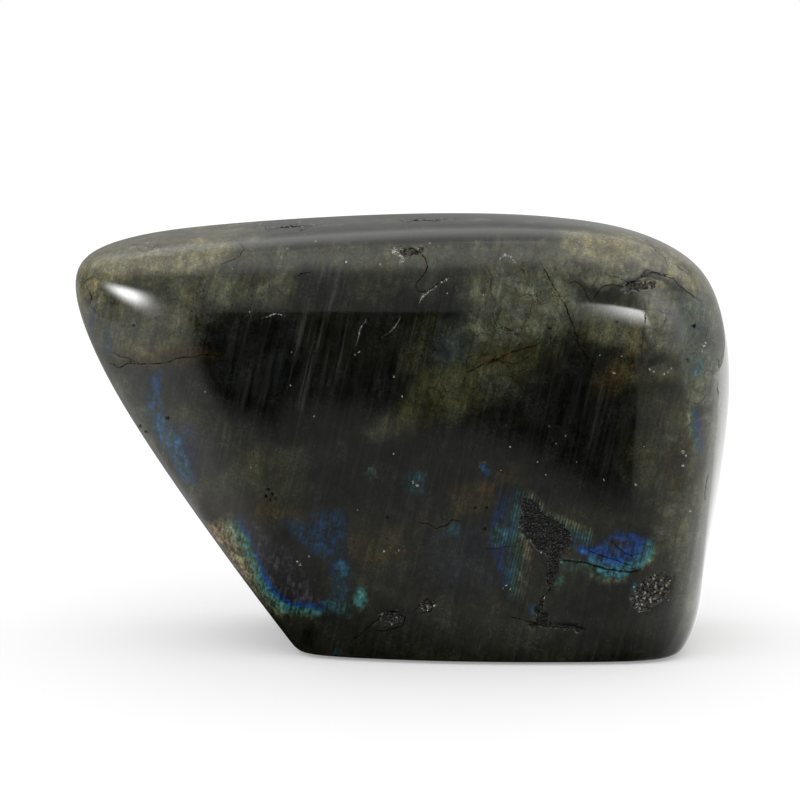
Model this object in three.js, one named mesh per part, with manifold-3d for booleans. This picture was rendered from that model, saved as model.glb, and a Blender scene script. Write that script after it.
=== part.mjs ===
// A polished labradorite freeform: one heavy stone, ground by hand into rounded
// faces and sawn flat underneath, so that it stands leaning out over its base.
//
// Millimetres, +Z up. The better face looks along -Y, with +X to its right.
// The origin is on the plane of the base, under the middle of the stone's box.

import * as THREE from "three";
import { mergeVertices } from "three/addons/utils/BufferGeometryUtils.js";
import Module from "manifold-3d";

const DEGREE = Math.PI / 180;

// The heart is a point well inside the stone. Its height above the base and the
// distances of the ground faces from it are the driving dimensions.
const HEART = new THREE.Vector3(6.45, -0.4, 65);
const ARRIS = 1.6; // how far the rounding of the base's edge reaches

// The ground faces. `side` is the angle of a face's normal in the front view,
// from +X up towards +Z. `lean` turns it towards the viewer, or away if it is
// negative. `softness` is how gently a face runs into its neighbours: the
// radius of a square edge is about one and a half times it.
const FACES = [
  { name: "front left", side: 145, lean: 86.5, distance: 36, softness: 4 },
  { name: "front right", side: 35, lean: 86, distance: 35.7, softness: 4 },
  { name: "front bend", side: 219, lean: 70, distance: 48.4, softness: 4.5 },
  { name: "front brow", side: 91, lean: 46, distance: 55, softness: 4.2 },
  { name: "front shoulder", side: 48, lean: 46, distance: 72, softness: 4.5 },
  { name: "front side", side: -4, lean: 44, distance: 75.5, softness: 4.5 },
  { name: "front nose", side: 166, lean: 50, distance: 79, softness: 4.5 },
  { name: "front slant", side: 212, lean: 42, distance: 67.5, softness: 2.8 },
  { name: "back left", side: 150, lean: -86, distance: 36, softness: 4 },
  { name: "back right", side: 30, lean: -86, distance: 36, softness: 4 },
  { name: "back brow", side: 88, lean: -44, distance: 55, softness: 4.5 },
  { name: "back shoulder", side: 46, lean: -48, distance: 71, softness: 5 },
  { name: "back side", side: -4, lean: -46, distance: 74, softness: 5 },
  { name: "back nose", side: 168, lean: -47, distance: 81, softness: 5 },
  { name: "back slant", side: 212, lean: -44, distance: 67, softness: 3.5 },
  { name: "top left", side: 97, lean: 3, distance: 56.7, softness: 2.5 },
  { name: "top", side: 91.5, lean: 3, distance: 53.5, softness: 2.5 },
  { name: "top right", side: 82, lean: 0, distance: 58.3, softness: 2.5 },
  { name: "upper shoulder", side: 62, lean: 0, distance: 72.6, softness: 3 },
  { name: "shoulder", side: 42, lean: 0, distance: 86.4, softness: 3 },
  { name: "upper right", side: 14, lean: 0, distance: 85.7, softness: 3 },
  { name: "lower right", side: -8, lean: 0, distance: 82.7, softness: 3 },
  { name: "foot", side: -50, lean: 0, distance: 95.4, softness: 3 },
  { name: "lower slant", side: 218, lean: 0, distance: 68.6, softness: 2 },
  { name: "slant", side: 213, lean: 0, distance: 68.9, softness: 2 },
  { name: "upper slant", side: 202, lean: 0, distance: 78.5, softness: 2.4 },
  { name: "nose", side: 170, lean: 0, distance: 103.2, softness: 3 },
  { name: "upper nose", side: 122, lean: 0, distance: 88.4, softness: 3 },
];

// The scars that the polish did not take out: pits and plucked grains. `at` is
// a point near the surface, `along` the way the scar runs over it, and `long`,
// `short` and `depth` its size.
const SCARS = [
  { name: "grain pit", at: [67.8, -32.8, 19.8], along: [1, 0, 0.4], long: 10, short: 8, depth: 1.2 },
  { name: "low vein", at: [-3.2, -33.2, 13], along: [1, 0, 0.5], long: 12, short: 5, depth: 0.6 },
  { name: "brown pit", at: [6.7, -34.2, 16.5], along: [1, 0, 0], long: 4.5, short: 3, depth: 0.7 },
  { name: "vein foot", at: [39.6, -34.8, 11], along: [1, 0, -0.1], long: 17, short: 4, depth: 0.6 },
  { name: "brow chip", at: [1.9, -28.3, 110.6], along: [1, 0, 0], long: 10, short: 3.5, depth: 0.6 },
  { name: "shoulder pits", at: [63.1, -28.8, 101.7], along: [1, 0, 0.2], long: 11, short: 4, depth: 0.6 },
  { name: "top left pits", at: [-30.6, -5.3, 115.5], along: [1, 0, 0], long: 20, short: 5, depth: 0.6 },
  { name: "top pits", at: [8.2, -6, 117.6], along: [1, 0.1, 0], long: 16, short: 4, depth: 0.6 },
  { name: "top back pits", at: [44, 12, 115], along: [1, -0.3, 0], long: 13, short: 5, depth: 0.7 },
  { name: "slant pit", at: [-50, 6, 32], along: [-1, 0.4, 1], long: 10, short: 5, depth: 0.8 },
  { name: "side pits", at: [84, 8, 44], along: [0, 0.3, 1], long: 9, short: 4, depth: 0.7 },
  { name: "back pit", at: [-24, 34, 58], along: [1, 0, 0.6], long: 12, short: 8, depth: 1.1 },
  { name: "back vein", at: [52, 34, 30], along: [1, 0, -0.5], long: 18, short: 4, depth: 0.7 },
];

// The dark patch is a sunk island of coarse grains with a ragged edge. Its
// outline runs round its middle, which is at `at`, in the plane of the front.
const PATCH = {
  at: [38.5, -34, 37.5],
  along: [1, 0, 0],
  depth: 0.6,
  outline: [
    [-7.1, 8.4],
    [-4.9, 8.9],
    [-1.4, 5.6],
    [1.5, 3.2],
    [4.8, 1],
    [7.5, -2.2],
    [5.8, -4.9],
    [2.6, -8.4],
    [0.4, -7.9],
    [-1.7, -5.4],
    [-4.4, -2.2],
    [-6.6, 1.6],
    [-7.4, 5.4],
  ],
};

// The net of points: a box around the heart, whose points are sent out along
// rays to the polished surface. Its lines crowd towards its edges, where the
// stone turns.
const BOX = { x: 88, y: 34, z: 50 };
const COLUMNS = { x: 36, y: 16 };
const ROWS = 28;
const CROWDING = 0.35 * Math.PI;
const ARRIS_ROWS = 3;

const faces = FACES.map(({ side, lean, distance, softness }) => ({
  pull: new THREE.Vector3(
    Math.cos(side * DEGREE) * Math.cos(lean * DEGREE),
    -Math.sin(lean * DEGREE),
    Math.sin(side * DEGREE) * Math.cos(lean * DEGREE),
  ).divideScalar(softness),
  start: distance / softness,
}));

// The point of the polished surface on the ray from the heart along
// `direction`. Each face adds exp((its normal . p - distance) / softness), and
// the surface is where the sum is 1: Newton's method comes to it from outside.
function surfacePoint(direction) {
  const OUTSIDE = 130;
  const STEPS = 16;
  const ray = direction.clone().normalize();
  let along = OUTSIDE;
  for (let step = 0; step < STEPS; step += 1) {
    let sum = 0;
    let slope = 0;
    for (const { pull, start } of faces) {
      const rate = pull.dot(ray);
      const share = Math.exp(rate * along - start);
      sum += share;
      slope += share * rate;
    }
    along -= (Math.log(sum) * sum) / slope;
  }
  return ray.multiplyScalar(along).add(HEART);
}

// The way out of the stone at a point of its surface.
function outward(point) {
  const offset = point.clone().sub(HEART);
  const total = new THREE.Vector3();
  for (const { pull, start } of faces)
    total.addScaledVector(pull, Math.exp(pull.dot(offset) - start));
  return total.normalize();
}

// A share from 0 to 1, or -1 to 1, moved towards its ends.
const crowd = (share) => Math.sin(share * CROWDING) / Math.sin(CROWDING);

// The points of the box's outline in plan, anticlockwise from its front left.
function planOutline() {
  const { x, y } = BOX;
  const corners = [[-x, -y], [x, -y], [x, y], [-x, y]];
  return corners.flatMap(([x0, y0], i) => {
    const [x1, y1] = corners[(i + 1) % corners.length];
    const count = i % 2 ? COLUMNS.y : COLUMNS.x;
    return Array.from({ length: count }, (_, k) => {
      const share = (crowd((2 * k) / count - 1) + 1) / 2;
      return new THREE.Vector2(x0 + (x1 - x0) * share, y0 + (y1 - y0) * share);
    });
  });
}

// How high on the box a ray through `plan` has to pass to reach the surface at
// `height` above the base.
function boxHeight(plan, height) {
  const HALVINGS = 40;
  let low = -10 * BOX.z;
  let high = BOX.z;
  for (let i = 0; i < HALVINGS; i += 1) {
    const middle = (low + high) / 2;
    const { z } = surfacePoint(new THREE.Vector3(plan.x, plan.y, middle));
    if (z < height) low = middle;
    else high = middle;
  }
  return high;
}

// The rounded stone as one closed mesh: rings of points from the flat base,
// round its edge and up the sides, then a net over the top.
function roundedStone() {
  const outline = planOutline();
  const around = outline.length;
  const points = [];
  const triangles = [];
  const quad = (a, b, c, d) => triangles.push(a, b, c, a, c, d);

  // The edge of the base is a curve from the base's plane to the side, pulled
  // towards the sharp corner that the saw left.
  const edge = outline.map((plan) => {
    const corner = surfacePoint(new THREE.Vector3(plan.x, plan.y, boxHeight(plan, 0)));
    const sideStart = boxHeight(plan, ARRIS);
    const side = surfacePoint(new THREE.Vector3(plan.x, plan.y, sideStart));
    const flat = corner.clone().addScaledVector(outward(corner).setZ(0).normalize(), -ARRIS);
    flat.z = 0;
    return { plan, sideStart, curve: new THREE.QuadraticBezierCurve3(flat, corner.setZ(0), side) };
  });
  for (let row = 0; row < ARRIS_ROWS; row += 1)
    for (const { curve } of edge) points.push(curve.getPoint(row / ARRIS_ROWS));
  for (let row = 0; row <= ROWS; row += 1)
    for (const { plan, sideStart } of edge) {
      const high = sideStart + (BOX.z - sideStart) * crowd(row / ROWS);
      points.push(surfacePoint(new THREE.Vector3(plan.x, plan.y, high)));
    }
  for (let row = 0; row < ARRIS_ROWS + ROWS; row += 1)
    for (let i = 0; i < around; i += 1) {
      const next = (i + 1) % around;
      const low = row * around;
      quad(low + i, low + next, low + around + next, low + around + i);
    }

  // The top's net joins the last ring all round, so its outer points are taken
  // from that ring.
  const topRing = (ARRIS_ROWS + ROWS) * around;
  const { x: nx, y: ny } = COLUMNS;
  const topIndex = (i, j) => {
    if (j === 0) return topRing + i;
    if (i === nx) return topRing + nx + j;
    if (j === ny) return topRing + nx + ny + (nx - i);
    if (i === 0) return topRing + 2 * nx + ny + (ny - j);
    return topRing + around + (j - 1) * (nx - 1) + (i - 1);
  };
  for (let j = 1; j < ny; j += 1)
    for (let i = 1; i < nx; i += 1) {
      const x = BOX.x * crowd((2 * i) / nx - 1);
      const y = BOX.y * crowd((2 * j) / ny - 1);
      points.push(surfacePoint(new THREE.Vector3(x, y, BOX.z)));
    }
  for (let j = 0; j < ny; j += 1)
    for (let i = 0; i < nx; i += 1)
      quad(topIndex(i, j), topIndex(i + 1, j), topIndex(i + 1, j + 1), topIndex(i, j + 1));

  // The flat base is one polygon inside the first ring, seen from below.
  const baseOutline = points.slice(0, around).map((p) => new THREE.Vector2(p.x, p.y));
  for (const [a, b, c] of THREE.ShapeUtils.triangulateShape(baseOutline, []))
    triangles.push(a, c, b);

  return new THREE.BufferGeometry().setFromPoints(points).setIndex(triangles);
}

// Sets a tool's own X along the scar, its own Z straight out of the stone, and
// its origin on the surface.
function placeOnSurface(geometry, { at, along }) {
  const point = surfacePoint(new THREE.Vector3(...at).sub(HEART));
  const out = outward(point);
  const long = new THREE.Vector3(...along).projectOnPlane(out).normalize();
  const short = out.clone().cross(long);
  return geometry.applyMatrix4(new THREE.Matrix4().makeBasis(long, short, out).setPosition(point));
}

// The hollow of a scar is a rough lump, sunk to half its height.
function scarTool(scar) {
  const ROUGHNESS = 0.16;
  const SUNK = 0.5; // the lump's middle stands this share of its height above the surface
  const lump = new THREE.IcosahedronGeometry(1, 1);
  const corners = lump.getAttribute("position");
  const corner = new THREE.Vector3();
  for (let i = 0; i < corners.count; i += 1) {
    corner.fromBufferAttribute(corners, i);
    const wave = Math.sin(9 * corner.x + scar.long) * Math.cos(7 * corner.y - 5 * corner.z + scar.short);
    corner.multiplyScalar(1 + ROUGHNESS * wave);
    corners.setXYZ(i, corner.x, corner.y, corner.z);
  }
  const height = scar.depth / (1 - SUNK);
  const spread = Math.sqrt(1 - SUNK * SUNK);
  lump.scale(scar.long / 2 / spread, scar.short / 2 / spread, height);
  lump.translate(0, 0, SUNK * height);
  return placeOnSurface(lump, scar);
}

// The sunk patch is its outline, pressed straight in.
function patchTool(patch) {
  const CLEAR = 2; // how far the tool stands out of the surface
  const shape = new THREE.Shape(patch.outline.map(([x, y]) => new THREE.Vector2(x, y)));
  const tool = new THREE.ExtrudeGeometry(shape, { depth: patch.depth + CLEAR, bevelEnabled: false });
  tool.translate(0, 0, -patch.depth);
  return placeOnSurface(tool, patch);
}

const wasm = await Module();
wasm.setup();

function solidOf(geometry) {
  const bare = new THREE.BufferGeometry();
  bare.setAttribute("position", geometry.getAttribute("position"));
  if (geometry.index) bare.setIndex(geometry.index);
  const merged = mergeVertices(bare);
  return new wasm.Manifold(
    new wasm.Mesh({
      numProp: 3,
      vertProperties: merged.getAttribute("position").array,
      triVerts: new Uint32Array(merged.index.array),
    }),
  );
}

function geometryOf(solid) {
  const { vertProperties, triVerts } = solid.getMesh();
  return new THREE.BufferGeometry()
    .setAttribute("position", new THREE.BufferAttribute(vertProperties, 3))
    .setIndex(new THREE.BufferAttribute(triVerts, 1));
}

function scarredStone() {
  let solid = solidOf(roundedStone());
  for (const scar of SCARS) solid = solid.subtract(solidOf(scarTool(scar)));
  return geometryOf(solid.subtract(solidOf(patchTool(PATCH))));
}

const stone = new THREE.Mesh(
  scarredStone(),
  new THREE.MeshStandardMaterial({ color: 0x2b2c24, roughness: 0.12, metalness: 0 }),
);
stone.name = "stone";

const labradorite = new THREE.Group();
labradorite.add(stone);
export default labradorite;
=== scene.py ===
# A polished labradorite freeform on a white studio table.
#
# Blender's units are metres. The numbers of the stone's form are millimetres, as
# they are on its drawing: +X to the right of the better face, -Y out of it, +Z up.
# Markings are placed as they appear to a viewer on one side of the stone: their
# points are picture points of that view, 800 across, counted from the top left.

import math

import bpy
import numpy as np
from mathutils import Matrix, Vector, noise


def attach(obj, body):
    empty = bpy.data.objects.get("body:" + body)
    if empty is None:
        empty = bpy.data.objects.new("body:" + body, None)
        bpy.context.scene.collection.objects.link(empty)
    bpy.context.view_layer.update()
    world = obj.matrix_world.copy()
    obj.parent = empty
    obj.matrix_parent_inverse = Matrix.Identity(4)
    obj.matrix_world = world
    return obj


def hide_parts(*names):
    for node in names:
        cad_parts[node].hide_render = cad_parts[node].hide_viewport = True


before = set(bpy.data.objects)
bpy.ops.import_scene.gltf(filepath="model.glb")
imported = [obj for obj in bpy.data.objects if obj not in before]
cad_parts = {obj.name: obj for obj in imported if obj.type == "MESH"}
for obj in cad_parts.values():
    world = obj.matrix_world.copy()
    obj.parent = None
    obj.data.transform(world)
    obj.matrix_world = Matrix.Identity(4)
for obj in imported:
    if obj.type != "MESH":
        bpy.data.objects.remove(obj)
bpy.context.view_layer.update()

MM = 0.001

# The camera looks down a little at the better face.
CAMERA_ELEVATION = 8
CAMERA_DISTANCE = 740
CAMERA_TARGET = (-0.7, 0, 67)
CAMERA_LENS = 120
SENSOR = 36
PICTURE = 800

# The sides from which markings are placed: degrees round from the better face,
# and degrees up.
VIEWS = {
    "front": (0, CAMERA_ELEVATION),
    "back": (180, CAMERA_ELEVATION),
    "right end": (90, CAMERA_ELEVATION),
    "top": (0, 90),
}

# The ground faces of the stone, as in its source: the angle of the normal in the
# front view, its lean towards the viewer, the distance from the heart and the
# softness of the turn into the neighbours. The sawn base is the hardest of them.
HEART = np.array([6.45, -0.4, 65])
FACES = {
    "front left": (145, 86.5, 36, 4),
    "front right": (35, 86, 35.7, 4),
    "front bend": (219, 70, 48.4, 4.5),
    "front brow": (91, 46, 55, 4.2),
    "front shoulder": (48, 46, 72, 4.5),
    "front side": (-4, 44, 75.5, 4.5),
    "front nose": (166, 50, 79, 4.5),
    "front slant": (212, 42, 67.5, 2.8),
    "back left": (150, -86, 36, 4),
    "back right": (30, -86, 36, 4),
    "back brow": (88, -44, 55, 4.5),
    "back shoulder": (46, -48, 71, 5),
    "back side": (-4, -46, 74, 5),
    "back nose": (168, -47, 81, 5),
    "back slant": (212, -44, 67, 3.5),
    "top left": (97, 3, 56.7, 2.5),
    "top": (91.5, 3, 53.5, 2.5),
    "top right": (82, 0, 58.3, 2.5),
    "upper shoulder": (62, 0, 72.6, 3),
    "shoulder": (42, 0, 86.4, 3),
    "upper right": (14, 0, 85.7, 3),
    "lower right": (-8, 0, 82.7, 3),
    "foot": (-50, 0, 95.4, 3),
    "lower slant": (218, 0, 68.6, 2),
    "slant": (213, 0, 68.9, 2),
    "upper slant": (202, 0, 78.5, 2.4),
    "nose": (170, 0, 103.2, 3),
    "upper nose": (122, 0, 88.4, 3),
    "base": (-90, 0, 65, 0.5),
}

# Rough spots that the polish never reached: middle, direction, length, width and
# depth in mm.
SCARS = {
    "grain pit": ((66.7, -32.8, 19.8), (1, 0, 0.75), 15, 9, 0.7),
    "low vein": ((-3.2, -33.2, 13), (1, 0, 0.3), 12, 5, 0.25),
    "brown pit": ((6.7, -34.2, 16.5), (1, 0, 0), 4.5, 3, 0.7),
        "brow chip": ((1.9, -28.3, 110.6), (1, 0, 0), 10, 3.5, 0.6),
    "shoulder pits": ((63.1, -28.8, 101.7), (1, 0, 0.2), 11, 4, 0.6),
    "top left pits": ((-30.6, -5.3, 115.5), (1, 0, 0), 20, 5, 0.6),
    "top pits": ((8.2, -6, 117.6), (1, 0.1, 0), 16, 4, 0.6),
    "top back pits": ((44, 12, 115), (1, -0.3, 0), 13, 5, 0.7),
    "slant pit": ((-50, 6, 32), (-1, 0.4, 1), 10, 5, 0.8),
    "side pits": ((84, 8, 44), (0, 0.3, 1), 9, 4, 0.7),
    "back pit": ((-24, 34, 58), (1, 0, 0.6), 12, 8, 1.1),
    "back vein": ((52, 34, 30), (1, 0, -0.5), 18, 4, 0.7),
}

# The sunk island of dark grains in the better face: its depth in mm, and its
# outline in picture points of the front view.
PATCH_DEPTH = 0.35
PATCH_OUTLINE = [
    (523, 499), (529, 497), (538, 504), (545, 513), (554, 519), (563, 524), (569, 530), (574, 536),
    (568, 545), (565, 552), (559, 560), (560, 568), (556, 576), (552, 588), (546, 597), (544, 603),
    (546, 615), (552, 621), (561, 623), (570, 625), (579, 623), (587, 630), (579, 632), (570, 630),
    (556, 628), (538, 628), (528, 626), (534, 620), (537, 615), (533, 611), (536, 604), (541, 598),
    (546, 592), (548, 584), (547, 575), (548, 566), (547, 559), (540, 553), (531, 543), (523, 534),
    (518, 524), (523, 515), (519, 507),
]

# The colours of the stone's own body, as linear light.
NIGHT = (0.0014, 0.0016, 0.0009)
SOOT = (0.0055, 0.0058, 0.0038)
DUSK = (0.0040, 0.0044, 0.0044)
COAL = (0.0034, 0.0037, 0.0032)
SLATE = (0.0105, 0.0115, 0.0085)
MOSS = (0.018, 0.019, 0.009)
OLIVE = (0.029, 0.030, 0.014)
REED = (0.048, 0.049, 0.029)
STEEL = (0.041, 0.047, 0.036)
SMOKE = (0.064, 0.068, 0.045)
ASH = (0.088, 0.088, 0.060)
BONE = (0.135, 0.123, 0.068)
SAND = (0.115, 0.098, 0.040)
RUST = (0.060, 0.034, 0.010)
UMBER = (0.018, 0.013, 0.004)

# Zones of the body, painted one over the other: colour, width of the soft edge,
# strength and outline.
FRONT_ZONES = {
    "lower half": (SOOT, 40, 0.7, [(230, 470), (660, 470), (690, 670), (300, 670)]),
    "under the brow": (SLATE, 20, 1, [(215, 262), (480, 262), (480, 312), (215, 312)]),
    "grey left of the brow": (REED, 16, 0.75, [(255, 264), (296, 262), (292, 312), (256, 312)]),
    "brow middle": (MOSS, 24, 0.8, [(350, 268), (405, 268), (390, 305), (350, 305)]),
    "below the top": (REED, 18, 0.8, [(200, 236), (560, 228), (560, 262), (200, 266)]),
    "dark top edge": (SOOT, 9, 0.85, [(258, 224), (300, 214), (556, 214), (560, 238), (470, 240), (258, 244)]),
    "left field": (REED, 16, 1, [(100, 300), (140, 274), (250, 268), (254, 300), (214, 322), (196, 352), (112, 358)]),
    "left field light": (SMOKE, 14, 0.8, [(198, 272), (234, 270), (230, 306), (204, 314)]),
    "upper left": (BONE, 16, 1, [(40, 320), (40, 200), (236, 200), (240, 246), (206, 268), (150, 272), (108, 276), (98, 302), (84, 330)]),
    "nose": (REED, 14, 0.8, [(60, 296), (103, 300), (106, 352), (70, 352)]),
    "grey heart": (SMOKE, 24, 1, [(474, 266), (566, 262), (582, 318), (548, 340), (500, 350), (470, 342), (458, 318)]),
    "grey heart light": (ASH, 20, 0.5, [(503, 276), (532, 276), (536, 336), (506, 342)]),
    "blue grey": (STEEL, 16, 1, [(442, 318), (470, 320), (472, 366), (436, 372), (428, 346)]),
    "left lobe": (DUSK, 56, 1, [(190, 352), (206, 318), (300, 314), (470, 312), (440, 345), (402, 392), (372, 414), (332, 444), (290, 450), (250, 442), (212, 404)]),
    "left lobe light": (SOOT, 40, 0.8, [(310, 314), (440, 314), (400, 376), (330, 390), (300, 350)]),
    "left lobe foot": (NIGHT, 26, 0.9, [(212, 384), (262, 396), (306, 398), (352, 392), (356, 420), (316, 448), (262, 440)]),
    "fibres beside the lobe": (MOSS, 12, 0.7, [(412, 318), (446, 316), (420, 366), (398, 372)]),
    "olive band": (OLIVE, 22, 1, [(468, 348), (548, 342), (542, 362), (514, 400), (470, 414), (420, 438), (384, 440), (366, 428), (402, 398), (432, 372)]),
    "band light": (REED, 14, 0.5, [(452, 366), (492, 362), (486, 394), (448, 398)]),
    "band grey": (STEEL, 12, 0.6, [(480, 378), (516, 374), (512, 398), (482, 400)]),
    "under the band": (COAL, 34, 0.9, [(300, 456), (384, 436), (470, 416), (520, 450), (560, 490), (480, 506), (400, 506), (310, 492)]),
    "right lobe": (COAL, 50, 1, [(574, 352), (608, 356), (628, 390), (634, 440), (628, 484), (600, 492), (520, 486), (478, 450), (478, 416), (506, 394), (536, 372)]),
    "right lobe foot": (NIGHT, 20, 0.8, [(494, 478), (560, 482), (640, 486), (640, 506), (560, 506), (500, 500)]),
    "right lobe rust": (RUST, 14, 0.3, [(592, 372), (618, 352), (640, 350), (640, 372), (612, 394), (590, 394)]),
    "right column": (MOSS, 12, 0.75, [(634, 366), (684, 366), (692, 484), (640, 496)]),
    "right column foot": (UMBER, 12, 0.8, [(664, 452), (692, 440), (692, 490), (668, 490)]),
    "upper right": (BONE, 20, 1, [(556, 190), (740, 190), (740, 292), (662, 284), (610, 272), (566, 258)]),
    "upper right grey": (ASH, 16, 0.8, [(566, 262), (612, 262), (664, 272), (672, 284), (600, 284), (570, 276)]),
    "upper right sand": (SAND, 16, 0.8, [(584, 222), (626, 226), (628, 260), (592, 258)]),
    "dark vein": (COAL, 7, 0.75, [(580, 280), (598, 286), (612, 282), (634, 282), (640, 278), (636, 292), (618, 300), (602, 306), (594, 298)]),
    "dark vein end": (COAL, 5, 0.7, [(638, 278), (646, 270), (664, 272), (680, 284), (698, 298), (680, 291), (664, 281), (650, 280)]),
    "dark vein head": (SLATE, 6, 0.6, [(618, 258), (630, 258), (640, 264), (634, 270), (622, 268)]),
    "beside the vein": (REED, 14, 1, [(566, 304), (640, 304), (640, 344), (596, 344), (574, 332)]),
    "brown column": (SAND, 10, 0.45, [(622, 322), (643, 322), (642, 356), (624, 352)]),
    # Painted reflection: a pale band where the right lamp's glow trails down the face.
    "painted lamp glow": (ASH, 12, 0.9, [(646, 286), (674, 292), (674, 350), (646, 352)]),
    "specks under the painted glow": (REED, 8, 0.7, [(646, 362), (678, 362), (678, 374), (646, 374)]),
    "right flank": (SMOKE, 12, 0.95, [(676, 292), (740, 292), (740, 410), (692, 412), (682, 372)]),
    "flank foot": (REED, 14, 0.9, [(690, 412), (740, 410), (730, 500), (694, 480)]),
    "lower flank": (REED, 20, 0.8, [(664, 514), (694, 488), (730, 500), (720, 640), (690, 640), (676, 590), (664, 560), (656, 534)]),
    "lower right": (SOOT, 24, 0.9, [(560, 576), (646, 576), (668, 612), (680, 656), (560, 656)]),
    "low light": (SLATE, 24, 0.5, [(432, 606), (504, 604), (560, 628), (540, 644), (430, 634)]),
    "lower left": (SOOT, 18, 1, [(262, 612), (420, 604), (410, 664), (300, 664)]),
    "left foot field": (MOSS, 22, 0.9, [(228, 458), (300, 454), (302, 498), (262, 504), (232, 488)]),
    "left cheek": (SLATE, 20, 0.9, [(200, 402), (228, 438), (234, 482), (206, 470)]),
    "brown line": (RUST, 9, 0.4, [(108, 350), (140, 352), (180, 346), (216, 346), (216, 358), (178, 364), (140, 370), (108, 366)]),
    "under the brown line": (SLATE, 16, 0.9, [(112, 366), (196, 362), (206, 396), (168, 398), (136, 402)]),
    "slant edge": (REED, 14, 0.8, [(112, 372), (140, 392), (206, 500), (196, 508), (120, 400)]),
    "brown field": (UMBER, 12, 1, [(206, 498), (262, 498), (304, 510), (334, 518), (300, 526), (252, 519), (214, 522)]),
    "rusty field": (UMBER, 14, 0.8, [(350, 526), (408, 524), (412, 556), (366, 568), (350, 556)]),
    "rusty field core": (OLIVE, 10, 0.5, [(366, 532), (404, 530), (400, 552), (370, 556)]),
    "brown by the stripes": (UMBER, 12, 0.9, [(444, 486), (500, 480), (492, 506), (450, 514)]),
    "brown spots": (RUST, 8, 0.4, [(480, 480), (496, 480), (494, 494), (480, 492)]),
    "olive by the lobe": (UMBER, 12, 0.8, [(496, 464), (526, 462), (524, 480), (498, 478)]),
    "blue dusk": (SLATE, 22, 0.7, [(420, 532), (480, 528), (492, 592), (424, 590)]),
}

BACK_ZONES = {
    "dark lobe": (NIGHT, 24, 1, [(180, 340), (250, 310), (380, 320), (420, 380), (380, 450), (260, 470), (190, 420)]),
    "olive band": (OLIVE, 26, 1, [(380, 250), (470, 250), (440, 340), (460, 440), (400, 560), (320, 620), (280, 600), (350, 500), (400, 400)]),
    "smoke": (SMOKE, 30, 0.9, [(470, 260), (600, 270), (640, 330), (560, 380), (490, 360)]),
    "second lobe": (NIGHT, 22, 0.9, [(470, 400), (560, 390), (600, 430), (540, 520), (460, 500)]),
    "grey foot": (SLATE, 24, 0.9, [(120, 520), (300, 520), (330, 600), (200, 650), (110, 640)]),
    "rust": (RUST, 12, 0.5, [(250, 480), (330, 470), (350, 500), (280, 520)]),
}

TOP_ZONES = {
    "left end": (BONE, 60, 1, [(30, 250), (250, 250), (240, 550), (30, 550)]),
    "right end": (BONE, 60, 1, [(590, 250), (780, 250), (780, 550), (620, 550)]),
    "front edge": (MOSS, 22, 0.8, [(262, 440), (600, 440), (600, 550), (262, 550)]),
    "dark vein": (SLATE, 24, 0.8, [(290, 300), (360, 290), (420, 360), (520, 380), (560, 420), (470, 420), (380, 390)]),
    "olive": (OLIVE, 24, 0.7, [(400, 280), (520, 270), (560, 330), (470, 340)]),
}

END_ZONES = {
    "pale": (SMOKE, 40, 0.8, [(300, 200), (520, 200), (520, 400), (330, 420)]),
    "dark": (SLATE, 40, 0.9, [(330, 420), (520, 400), (520, 660), (300, 660)]),
    "olive": (OLIVE, 24, 0.8, [(360, 330), (470, 300), (480, 380), (400, 440), (350, 420)]),
}

# Bundles of pale fibres: strength and outline.
FIBRES = {
    "long bundle": (1, [(316, 262), (356, 262), (336, 330), (308, 410), (280, 412), (294, 330)]),
    "bundle beside it": (0.7, [(352, 296), (376, 300), (356, 360), (330, 392), (320, 384), (338, 340)]),
    "middle strokes": (0.6, [(398, 316), (452, 314), (424, 370), (388, 384)]),
    "strokes under the brow": (0.6, [(430, 262), (474, 262), (452, 312), (420, 312)]),
    "left strokes": (0.5, [(236, 262), (290, 262), (276, 330), (240, 330)]),
    "lobe strokes": (0.35, [(222, 330), (290, 330), (270, 430), (220, 400)]),
    "far strokes": (0.35, [(556, 300), (600, 300), (620, 470), (590, 480), (566, 380)]),
    "stripes below": (0.35, [(430, 450), (560, 500), (540, 600), (440, 600)]),
}

# Body zones by view.
ZONES = {
    "right end": END_ZONES,
    "top": TOP_ZONES,
    "back": BACK_ZONES,
    "front": FRONT_ZONES,
}

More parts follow.
